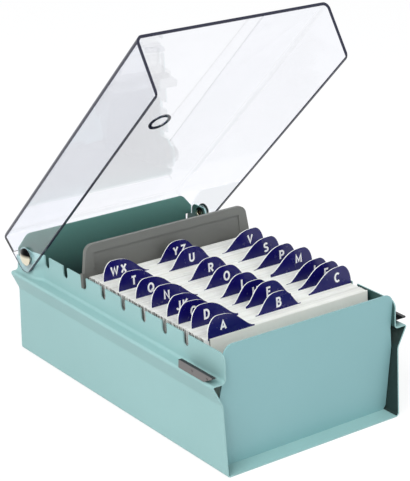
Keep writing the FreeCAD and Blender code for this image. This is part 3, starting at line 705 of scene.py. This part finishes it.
@dataclass
class SteelTray:
    """The tray, its two end panels, the follower plate and the lid rests, as the model has them."""

    finishes: Finishes
    looks: tuple[Dress, ...] = (
        # The tray's inward faces take the painted shade.
        Dress("base_tray", "teal_enamel", "teal_inside_painted_shade", -0.2),
        Dress("front_panel", "teal_front_painted_shade"),
        Dress("rear_panel", "teal_rear_painted_shade"),
        Dress("follower_plate", "plate_grey_painted_shade"),
        Dress("lid_rest_left", "rest_grey", "rest_painted_shade", 0.5),
        Dress("lid_rest_right", "rest_grey", "rest_painted_shade", 0.5),
    )

    def build(self) -> None:
        """Dress the model's own pieces."""
        for row in self.looks:
            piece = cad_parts[row.node]
            if row.other:
                self.finishes.dress(piece, row.look, row.other)
                side = np.sign(face_rows(piece.data, "center")[:, 0])
                outward = side * face_rows(piece.data, "normal")[:, 0]
                number_faces(piece.data, outward < row.least)
            else:
                self.finishes.dress(piece, row.look)
            LOG.info("dressed %s", row.node)


@dataclass
class Hinge:
    """The domed tubular rivets and the washers under their heads, turned.

    Places are measured along X from the middle plane.
    """

    finishes: Finishes
    head: float = 5.9
    dome: float = 1.8
    dome_steps: int = 22
    dome_share: float = 0.985
    rim: float = 73.8
    seat: float = 73.0
    shank: float = 3.0
    wall: float = 69.4
    rolled: float = 3.9
    end: float = 68.6
    bore: float = 2.1
    bore_end: float = 72.6
    washer_outer: float = 4.8
    washer_inner: float = 3.06
    washer_start: float = 72.3
    pole: float = 0.02

    def rivet(self) -> np.ndarray:
        """The profile of a rivet: a domed head, a shank and a rolled, hollow end."""
        radius = (self.head**2 + self.dome**2) / (2 * self.dome)
        angle = np.linspace(0.0, 1.0, self.dome_steps)
        angle = angle * math.asin(self.head / radius) * self.dome_share
        along = self.rim + self.dome - radius + radius * np.cos(angle)
        dome = np.stack([along, radius * np.sin(angle)], axis=1)
        dome[0, 1] = self.pole
        rest = rounded_profile([
            (self.rim, self.head - 0.01, 0.06), (self.seat, self.head - 0.04, 0.18),
            (self.seat, self.shank, 0.02), (self.wall, self.shank, 0.02),
            (self.wall, self.rolled, 0.15), (self.end, self.rolled, 0.38),
            (self.end, self.bore, 0.38), (self.bore_end, self.bore, 0.1),
        ])
        floor = np.array([[self.bore_end, self.pole]])
        return np.concatenate([dome, rest, floor])

    def washer(self) -> np.ndarray:
        """The profile of a washer: a ring with rounded corners."""
        return rounded_profile([
            (self.washer_start, self.washer_outer, 0.2),
            (self.washer_start, self.washer_inner, 0.1),
            (self.seat, self.washer_inner, 0.1),
            (self.seat, self.washer_outer, 0.2),
        ])

    def build(self) -> None:
        """Make both sides' rivets and washers."""
        for word, side in (("left", -1.0), ("right", 1.0)):
            for kind, profile, look, slot in (
                # The rivet's finish carries a painted reflection, black above and beige below.
                ("rivet", self.rivet(), "chrome_painted_reflection", "rivet_metal"),
                ("washer", self.washer(), "turned_steel", "washer_metal"),
            ):
                piece = turned(f"turned_{kind}_{word}", profile * MM, HINGE_AXIS, side)
                self.finishes.dress(piece, look)
                announce(piece, f"{kind}_{word}", "base")


@dataclass
class ClearLid:
    """The lid, with painted shade on its cut edges, its left fold and its disc's ring, where the
    clear plastic bends the light away.

    Its sizes are those of the closed lid, measured from the hinge axis, backwards and upwards.
    The nose slants, so its place is given at the rim. line is how wide the painted shade along an
    edge is.
    """

    finishes: Finishes
    opened: float = math.radians(47.0)
    rim: float = -8.7
    nose: float = -204.6
    slant: float = 8.1 / 35.8
    line: float = 0.75
    fold_reach: float = -67.7
    fold_foot: float = 22.7
    disc_back: float = 99.8
    disc_reach: float = 8.3
    disc_foot: float = 27.15
    skirt_front: float = 2.0
    skirt_foot: float = 11.3
    flat: float = 0.9995
    name: str = "clear_cover"

    def joined(self, mesh: bpy.types.Mesh) -> None:
        """Join a mesh's corners and cut its faces along the lines where the painted shade along the
        edges ends.
        """
        work = bmesh.new()
        work.from_mesh(mesh)
        bmesh.ops.remove_doubles(work, verts=work.verts, dist=0.001 * MM)
        turn = Matrix.Rotation(-self.opened, 3, "X")
        for place, normal in (
            ((0.0, 0.0, (self.rim + self.line) * MM), (0.0, 0.0, 1.0)),
            ((0.0, (self.nose + self.line) * MM, self.rim * MM), (0.0, 1.0, self.slant)),
        ):
            bmesh.ops.bisect_plane(
                work, geom=work.verts[:] + work.edges[:] + work.faces[:], dist=0.0001 * MM,
                plane_co=HINGE_AXIS + turn @ Vector(place), plane_no=turn @ Vector(normal),
            )
        bmesh.ops.recalc_face_normals(work, faces=work.faces[:])
        work.to_mesh(mesh)
        work.free()

    def closed(self, rows: np.ndarray) -> np.ndarray:
        """Turn rows of x, y and z as the closed lid has them; each result is one row per axis."""
        cosine, sine = math.cos(self.opened), math.sin(self.opened)
        x, y, z = rows.T
        return np.stack([x, y * cosine - z * sine, y * sine + z * cosine])

    def build(self) -> None:
        """Copy the lid's solid, give its walls the clear finish and paint shade on its edges, left
        fold and disc ring.
        """
        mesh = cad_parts["lid"].data.copy()
        if "custom_normal" in mesh.attributes:
            mesh.attributes.remove(mesh.attributes["custom_normal"])
        self.joined(mesh)
        piece = bpy.data.objects.new(self.name, mesh)
        bpy.context.scene.collection.objects.link(piece)
        self.finishes.dress(piece, "lid_clear", "lid_edge_painted_shade")
        normals = self.closed(face_rows(mesh, "normal"))
        across, far, high = self.closed(face_rows(mesh, "center") - np.array(HINGE_AXIS))
        lean = far + self.slant * (high - self.rim * MM)
        front = lean < (self.nose + self.line) * MM
        rim = high < (self.rim + self.line) * MM
        fold = (across < self.fold_reach * MM) & (high > self.fold_foot * MM)
        fold &= (np.abs(normals[2]) > 0.02) & (normals[0] < -0.02) & (np.abs(normals[1]) < 0.3)
        ring = np.hypot(across, far + self.disc_back * MM) < self.disc_reach * MM
        ring &= high > self.disc_foot * MM
        tail = (high < self.skirt_foot * MM) & (far > self.skirt_front * MM)
        tail &= np.abs(normals[0]) < 0.3
        mesh.polygons.foreach_set("use_smooth", np.max(np.abs(normals), axis=0) < self.flat)
        mesh.set_sharp_from_angle(angle=math.radians(35.0))
        # Faces that take the painted shade: the cut edges, the left fold and the disc's ring.
        number_faces(mesh, front | rim | tail | fold | ring)
        announce(piece, "lid", "lid")


@dataclass
class CardPacks:
    """The index cards between the dividers, each one a thin plate of its own.

    left_inset and right_inset tell how much narrower the front pack's cards are, and front_tone
    and front_warmth their colour.
    """

    finishes: Finishes
    pitch: float = 0.36
    thick: float = 0.29
    foot: float = 0.1
    wander: float = 0.16
    left_spread: float = 0.5
    right_spread: float = 0.4
    most_inset: float = 1.5
    drop_spread: float = 0.28
    most_drop: float = 1.6
    left_inset: float = 3.4
    right_inset: float = 1.1
    front_tone: float = 0.93
    front_warmth: float = 0.05
    tone_spread: float = 0.07
    least_tone: float = 0.72
    warm_spread: float = 0.012
    most_warmth: float = 0.03
    seed: int = 7

    def build(self) -> None:
        """Make each pack in order from the front."""
        chance = np.random.default_rng(self.seed)
        starts = [STACK.front] + [STACK.foot(tab.share) + STACK.gap() for tab in DIVIDERS]
        ends = [STACK.foot(tab.share) - STACK.gap() for tab in DIVIDERS] + [STACK.rear]
        words = ["front"] + [tab.word for tab in DIVIDERS]
        for word, start, end in zip(words, starts, ends):
            self.pack(word, start, end, chance)

    def pack(self, word: str, start: float, end: float, chance: np.random.Generator) -> None:
        """One pack: cards side by side, each a little shorter or shifted than the next.

        Args:
            word: the pack's word.
            start: the front card's place along the floor.
            end: the rear card's place along the floor.
            chance: where the small differences come from.
        """
        room = (end - start) * math.cos(STACK.lean)
        count = max(2, int(room / self.pitch))
        step = room / count
        depth = (np.arange(count) + 0.5) * step
        drift = np.cumsum(chance.normal(0.0, self.wander, count))
        drift -= drift.mean()
        left = np.abs(drift * 0.5 + chance.normal(0.0, self.left_spread, count))
        left = np.clip(left, 0.0, self.most_inset)
        right = np.abs(chance.normal(0.0, self.right_spread, count))
        right = np.clip(right, 0.0, self.most_inset)
        if word == "front":
            left, right = left * 0.2 + self.left_inset, right * 0.4 + self.right_inset
        drop = np.abs(chance.normal(0.0, self.drop_spread, count)) + np.abs(drift) * 0.25
        drop = np.clip(drop, 0.0, self.most_drop)
        thin = np.full(count, self.thick / 2 * min(1.0, step / self.pitch))
        low = np.stack([left - STACK.card_half, -thin, np.full(count, self.foot)], axis=1)
        high = np.stack([STACK.card_half - right, thin, STACK.card_high - drop], axis=1)
        points, quads = boxes(low, high)
        points = STACK.leaned(points, start)
        points[:, 1] += np.repeat(depth / math.cos(STACK.lean), 8)
        points[:, 2] += STACK.floor_top
        piece = mesh_piece(f"pack_{word}", points * MM, quads)
        tone = 1.0 - np.abs(chance.normal(0.0, self.tone_spread, count))
        tone = np.clip(tone, self.least_tone, 1.0)
        warm = chance.normal(0.0, self.warm_spread, count)
        warm = np.clip(warm, -self.most_warmth, self.most_warmth)
        if word == "front":
            tone, warm = np.full(count, self.front_tone), np.full(count, self.front_warmth)
        tint = np.stack([tone, tone - warm * 0.3, tone - 0.015 - warm, np.ones(count)], axis=1)
        tint_points(piece.data, np.repeat(tint, 8, axis=0))
        self.finishes.dress(piece, "card_white", "card_end_painted_shade")
        # The cards' ends take the near-black painted shade.
        number_faces(piece.data, np.abs(face_rows(piece.data, "normal")[:, 0]) > 0.9)
        announce(piece, f"cards_{word}", "base")


def bow(centre: Spot, size: Spot, start: float, end: float, count: int = 13) -> list[Spot]:
    """Points of an arc: (cx + rx cos t, cz + rz sin t), from start to end in degrees."""
    turn = np.radians(np.linspace(start, end, count))
    return list(zip(centre[0] + size[0] * np.cos(turn), centre[1] + size[1] * np.sin(turn)))


def line(*spots: Spot, closed: bool = False) -> Line:
    """The middle line of a stroke, and whether its end meets its start."""
    return list(spots), closed


@dataclass(frozen=True)
class Alphabet:
    """Plain bold capitals, each as the middle lines of its strokes in a box one unit high."""

    high: float = 6.4
    stroke: float = 1.25
    gap: float = 1.5
    thick: float = 0.06
    longest_mitre: float = 1.7

    def strokes(self) -> dict[str, list[Line]]:
        """Each letter's lines."""
        stem = line((0, 0), (0, 1))
        bowl = line((0, 0), (0, 1), *bow((0.27, 0.73), (0.27, 0.27), 90, -90), (0, 0.46))
        ring = line(*bow((0.37, 0.5), (0.37, 0.5), 90, 450, 25)[:-1], closed=True)
        head = bow((0.28, 0.75), (0.26, 0.25), 35, 270)
        foot = bow((0.28, 0.25), (0.28, 0.25), 88, -145)
        return {
            "A": [line((0, 0), (0.36, 1), (0.72, 0)), line((0.14, 0.3), (0.58, 0.3))],
            "B": [
                line((0, 1), *bow((0.26, 0.77), (0.2, 0.23), 90, -90), (0, 0.54), closed=True),
                line((0, 0.54), *bow((0.28, 0.27), (0.26, 0.27), 90, -90), (0, 0), closed=True),
            ],
            "C": [line(*bow((0.37, 0.5), (0.37, 0.5), 48, 312, 21))],
            "D": [line((0, 0), (0, 1), *bow((0.22, 0.5), (0.38, 0.5), 90, -90, 17), closed=True)],
            "E": [line((0.5, 1), (0, 1), (0, 0), (0.5, 0)), line((0, 0.52), (0.45, 0.52))],
            "F": [line((0.5, 1), (0, 1), (0, 0)), line((0, 0.5), (0.43, 0.5))],
            "G": [line(*bow((0.37, 0.5), (0.37, 0.5), 48, 310, 21), (0.66, 0.46), (0.4, 0.46))],
            "H": [stem, line((0.6, 0), (0.6, 1)), line((0, 0.5), (0.6, 0.5))],
            "I": [stem],
            "J": [line((0.42, 1), *bow((0.21, 0.22), (0.21, 0.22), 0, -175))],
            "K": [stem, line((0.56, 1), (0, 0.36)), line((0.2, 0.58), (0.6, 0))],
            "L": [line((0, 1), (0, 0), (0.48, 0))],
            "M": [line((0, 0), (0, 1), (0.38, 0.2), (0.76, 1), (0.76, 0))],
            "N": [line((0, 0), (0, 1), (0.6, 0), (0.6, 1))],
            "O": [ring],
            "P": [bowl],
            "Q": [ring, line((0.44, 0.28), (0.76, -0.04))],
            "R": [bowl, line((0.26, 0.46), (0.58, 0))],
            "S": [line(*head, *foot)],
            "T": [line((0, 1), (0.6, 1)), line((0.3, 1), (0.3, 0))],
            "U": [line((0, 1), *bow((0.3, 0.3), (0.3, 0.3), 180, 360), (0.6, 1))],
            "V": [line((0, 1), (0.34, 0), (0.68, 1))],
            "W": [line((0, 1), (0.25, 0), (0.49, 0.86), (0.73, 0), (0.98, 1))],
            "X": [line((0, 1), (0.64, 0)), line((0, 0), (0.64, 1))],
            "Y": [line((0, 1), (0.32, 0.48), (0.64, 1)), line((0.32, 0.48), (0.32, 0))],
            "Z": [line((0, 1), (0.58, 1), (0, 0), (0.58, 0))],
        }

    def ribbon(self, spots: np.ndarray, closed: bool,
               depth: float) -> tuple[np.ndarray, np.ndarray]:
        """A flat bar along a line in the plane of the letters.

        At every point the bar's two edges lie on the mitre of its neighbours' directions, up to
        the longest mitre in half strokes.

        Args:
            spots: rows of x and z.
            closed: whether the line's end meets its start.
            depth: y of the bar's back face.

        Returns:
            The points and the faces.
        """
        ahead = np.roll(spots, -1, axis=0) - spots
        behind = spots - np.roll(spots, 1, axis=0)
        if not closed:
            ahead[-1], behind[0] = behind[-1], ahead[0]
        ahead /= np.linalg.norm(ahead, axis=1, keepdims=True)
        behind /= np.linalg.norm(behind, axis=1, keepdims=True)
        side = np.stack([-(ahead + behind)[:, 1], (ahead + behind)[:, 0]], axis=1)
        side /= np.linalg.norm(side, axis=1, keepdims=True)
        share = np.abs(side[:, 0] * -ahead[:, 1] + side[:, 1] * ahead[:, 0])
        side *= (self.stroke / 2 / np.maximum(share, 1 / self.longest_mitre))[:, None]
        near = depth - self.thick
        rows = []
        for edge, y in ((1, near), (-1, near), (-1, depth), (1, depth)):
            place = spots + edge * side
            rows.append(np.stack([place[:, 0], np.full(len(spots), y), place[:, 1]], axis=1))
        points = np.stack(rows, axis=1)
        count = len(spots)
        runs = count if closed else count - 1
        i, j = np.meshgrid(np.arange(runs), np.arange(4), indexing="ij")
        m, k = (i + 1) % count, (j + 1) % 4
        quads = np.stack([i * 4 + j, i * 4 + k, m * 4 + k, m * 4 + j]).reshape(4, -1).T
        if not closed:
            last = 4 * (count - 1)
            ends = np.array([[3, 2, 1, 0], [last, last + 1, last + 2, last + 3]])
            quads = np.concatenate([quads, ends])
        return points.reshape(-1, 3), quads

    def written(self, text: str, middle: float, foot: float,
                depth: float) -> tuple[np.ndarray, np.ndarray]:
        """A word's bars, centred about a place.

        Args:
            text: the word.
            middle: x of the word's middle.
            foot: z of the letters' foot.
            depth: y of the bars' back faces.

        Returns:
            The points and the faces.
        """
        letters = self.strokes()
        scale = self.high - self.stroke
        wide = {
            letter: max(x for spots, _ in letters[letter] for x, _ in spots) * scale + self.stroke
            for letter in text
        }
        x = middle - (sum(wide[letter] for letter in text) + self.gap * (len(text) - 1)) / 2
        points, quads, count = [], [], 0
        for letter in text:
            for spots, closed in letters[letter]:
                place = np.array(spots, dtype=float) * scale + self.stroke / 2
                bar, faces = self.ribbon(place + np.array([x, foot]), closed, depth)
                points.append(bar)
                quads.append(faces + count)
                count += len(bar)
            x += wide[letter] + self.gap
        return np.concatenate(points), np.concatenate(quads)


@dataclass
class Dividers:
    """The lettered dividers: a board, a blue tab with pale edges, and white letters.

    tab_lap is how far a tab reaches down over its board, and letter_foot how high above the board
    its letters stand.
    """

    finishes: Finishes
    tab_high: float = 11.9
    inset: float = 2.0
    steep: float = 7.5
    slope: float = 27.3
    middle_half: float = 17.7
    power: float = 1.57
    steps: int = 25
    tab_half: float = 0.34
    tab_lift: float = 0.02
    tab_lap: float = 1.5
    tab_least: float = 0.06
    letter_foot: float = 2.0
    letter_clear: float = 0.01
    alphabet: Alphabet = Alphabet()

    def outline(self, column: Column) -> tuple[np.ndarray, np.ndarray]:
        """The upper edge of a tab, left to right.

        The long side is H (1 + cos(pi u^1.57)) / 2 and the steep side of a side tab a quarter
        ellipse; a middle tab has two long sides.

        Args:
            column: the tab's column.

        Returns:
            The places across and the heights above the board.
        """
        middle = column is MIDDLE
        turn = np.linspace(0.0, 1.0, self.steps)
        wave = self.tab_high * (1 + np.cos(math.pi * turn**self.power)) / 2
        fall = ((self.middle_half if middle else self.slope) * turn, wave)
        if middle:
            rise = (-fall[0][:0:-1], fall[1][:0:-1])
            apex = 0.0
        else:
            angle = math.pi / 2 * turn[:-1]
            rise = (-self.steep * np.cos(angle), self.tab_high * np.sin(angle))
            apex = self.inset + self.steep - STACK.card_half
        x, z = np.concatenate([rise[0], fall[0]]) + apex, np.concatenate([rise[1], fall[1]])
        return (-x[::-1], z[::-1]) if column is RIGHT else (x, z)

    def divider(self, tab: Tab) -> None:
        """One divider, standing at its share of the stack."""
        x, rise = self.outline(tab.column)
        x = x + tab.across
        sides = np.array([-STACK.card_half, STACK.card_half])
        board = slab(sides, np.zeros(2), np.full(2, STACK.card_high), STACK.divider_half, 2)
        base = STACK.card_high + self.tab_lift
        top = base + np.maximum(rise + tab.raised, self.tab_least)
        flap = slab(x, np.full(len(x), base - self.tab_lap), top, self.tab_half, 6)
        middle = {LEFT: -49.8, MIDDLE: 0.6, RIGHT: 50.2}[tab.column]
        letters = self.alphabet.written(
            tab.word.upper(), middle + tab.across, base + self.letter_foot + tab.raised,
            -self.tab_half - self.letter_clear,
        )
        points = np.concatenate([board[0], flap[0], letters[0]])
        counts = np.cumsum([0, len(board[0]), len(flap[0])])
        quads = np.concatenate([
            part[1] + count for part, count in zip((board, flap, letters), counts)
        ])
        looks = np.concatenate([
            np.zeros(len(board[1])), np.where(flap[2] == 2, 0, 1), np.full(len(letters[1]), 2),
        ])
        places = STACK.leaned(points, STACK.foot(tab.share))
        places[:, 2] += STACK.floor_top + STACK.foot_clear
        piece = mesh_piece(f"tabbed_{tab.word}", places * MM, quads)
        self.finishes.dress(piece, "card_white", "tab_blue", "letter_white")
        tint_points(piece.data, np.ones((len(points), 4)))
        number_faces(piece.data, looks)
        announce(piece, f"divider_{tab.word}", f"divider_{tab.word}")

    def build(self) -> None:
        """Make every divider."""
        for tab in DIVIDERS:
            self.divider(tab)


@dataclass
class Studio:
    """The floor, the lamps, the world and the camera.

    The camera is given as pixels of the photograph and its own place in millimetres.
    """

    frame_wide: int = 410
    frame_high: int = 481
    focal: float = 1772.2
    centre: Spot = (204.28, 238.67)
    spot: tuple[float, float, float] = (-631.6, -831.3, 499.2)
    yaw: float = 0.65
    pitch: float = -0.366
    roll: float = 0.006
    white: Rgba = (1.0, 1.0, 1.0, 1.0)
    sky: Rgba = (0.97, 0.985, 1.0, 1.0)
    sky_light: float = 0.62
    floor_reach: float = 6.0
    floor_lit: Rgba = (0.75, 0.76, 0.77, 1.0)
    floor_seen: Rgba = (0.24, 0.24, 0.24, 1.0)
    floor_glow: float = 0.80

    def camera(self) -> None:
        """Set up the photograph's camera."""
        ahead = Vector((
            math.sin(self.yaw) * math.cos(self.pitch),
            math.cos(self.yaw) * math.cos(self.pitch),
            math.sin(self.pitch),
        ))
        right = Vector((math.cos(self.yaw), -math.sin(self.yaw), 0.0))
        above = right.cross(ahead)
        turned_right = math.cos(self.roll) * right + math.sin(self.roll) * above
        turned_up = math.cos(self.roll) * above - math.sin(self.roll) * right
        data = bpy.data.cameras.new("view")
        data.sensor_fit = "VERTICAL"
        data.sensor_height = 36.0
        data.lens = self.focal * data.sensor_height / self.frame_high
        data.shift_x = (self.frame_wide / 2 - self.centre[0]) / self.frame_high
        data.shift_y = (self.centre[1] - self.frame_high / 2) / self.frame_high
        data.clip_start = 0.01
        camera = bpy.data.objects.new("view", data)
        turn = Matrix((turned_right, turned_up, -ahead)).transposed()
        camera.matrix_world = Matrix.Translation(Vector(self.spot) * MM) @ turn.to_4x4()
        bpy.context.scene.collection.objects.link(camera)
        bpy.context.scene.camera = camera

    def lamp(self, name: str, place: tuple[float, float, float], size: float,
             power: float) -> None:
        """A square soft lamp aimed at the tray's middle."""
        data = bpy.data.lights.new(name, "AREA")
        data.shape = "SQUARE"
        data.size = size
        data.energy = power
        lamp = bpy.data.objects.new(name, data)
        lamp.location = place
        aim = Vector((0.0, 0.0, 0.05)) - Vector(place)
        lamp.rotation_euler = aim.to_track_quat("-Z", "Y").to_euler()
        bpy.context.scene.collection.objects.link(lamp)

    @staticmethod
    def seen_directly(wiring: Wiring) -> Socket:
        """A factor that is 1 for what the camera sees, also in metal and through glass."""
        rays = wiring.node("LightPath").outputs
        total = rays["Is Camera Ray"]
        for name in ("Is Glossy Ray", "Is Transmission Ray"):
            most = wiring.node("Math", {0: total, 1: rays[name]}, operation="MAXIMUM")
            total = most.outputs["Value"]
        return total

    def world(self) -> None:
        """White where it is seen, greyer overhead in mirrors, and a plain soft light elsewhere."""
        world = bpy.data.worlds.new("studio")
        bpy.context.scene.world = world
        world.use_nodes = True
        wiring = Wiring(world.node_tree)
        light = wiring.node("Background", {"Color": self.sky, "Strength": self.sky_light})
        shown = wiring.node("Background", {"Color": self.white, "Strength": 1.0})
        ways = wiring.node("TexCoord").outputs["Generated"]
        height = wiring.node("MapRange", {
            "Value": wiring.node("SeparateXYZ", {"Vector": ways}).outputs["Z"],
            "From Min": 0.22, "From Max": 0.34, "To Min": 1.0, "To Max": 0.97,
        })
        room = wiring.node("Background", {
            "Color": self.white, "Strength": height.outputs["Result"],
        })
        near = wiring.node("MixShader", {
            "Fac": wiring.node("LightPath").outputs["Is Camera Ray"],
            1: room.outputs["Background"], 2: shown.outputs["Background"],
        })
        mix = wiring.node("MixShader", {
            "Fac": self.seen_directly(wiring),
            1: light.outputs["Background"], 2: near.outputs["Shader"],
        })
        wiring.node("OutputWorld", {"Surface": mix.outputs["Shader"]})

    def floor(self) -> None:
        """A pale floor, almost white where it is seen, that keeps a faint shadow."""
        reach = self.floor_reach
        points = np.array([
            [-reach, -reach, 0], [reach, -reach, 0], [reach, reach, 0], [-reach, reach, 0],
        ])
        piece = mesh_piece("floor", points, np.array([[0, 1, 2, 3]]))
        material = bpy.data.materials.new("floor_white")
        material.use_nodes = True
        wiring = Wiring(material.node_tree)
        base = wiring.node("BsdfDiffuse", {"Color": self.floor_lit})
        faint = wiring.node("BsdfDiffuse", {"Color": self.floor_seen})
        glow = wiring.node("Emission", {"Strength": self.floor_glow})
        both = wiring.node("AddShader", {0: faint.outputs["BSDF"], 1: glow.outputs["Emission"]})
        mix = wiring.node("MixShader", {
            "Fac": self.seen_directly(wiring), 1: base.outputs["BSDF"], 2: both.outputs["Shader"],
        })
        wiring.node("OutputMaterial", {"Surface": mix.outputs["Shader"]})
        piece.data.materials.append(material)

    def build(self) -> None:
        """Make the whole studio."""
        bpy.context.scene.view_settings.view_transform = "Standard"
        self.camera()
        self.lamp("key", place=(-1.6, -0.7, 1.7), size=1.2, power=34.0)
        self.lamp("fill", place=(0.4, -2.0, 1.2), size=1.6, power=9.0)
        self.world()
        self.floor()
        LOG.info("built the studio")


def main() -> None:
    """Build every sub-assembly in order."""
    logging.basicConfig(level=logging.INFO)
    finishes = Finishes()
    Studio().build()
    SteelTray(finishes).build()
    Hinge(finishes).build()
    ClearLid(finishes).build()
    CardPacks(finishes).build()
    Dividers(finishes).build()


if __name__ == "__main__":
    main()
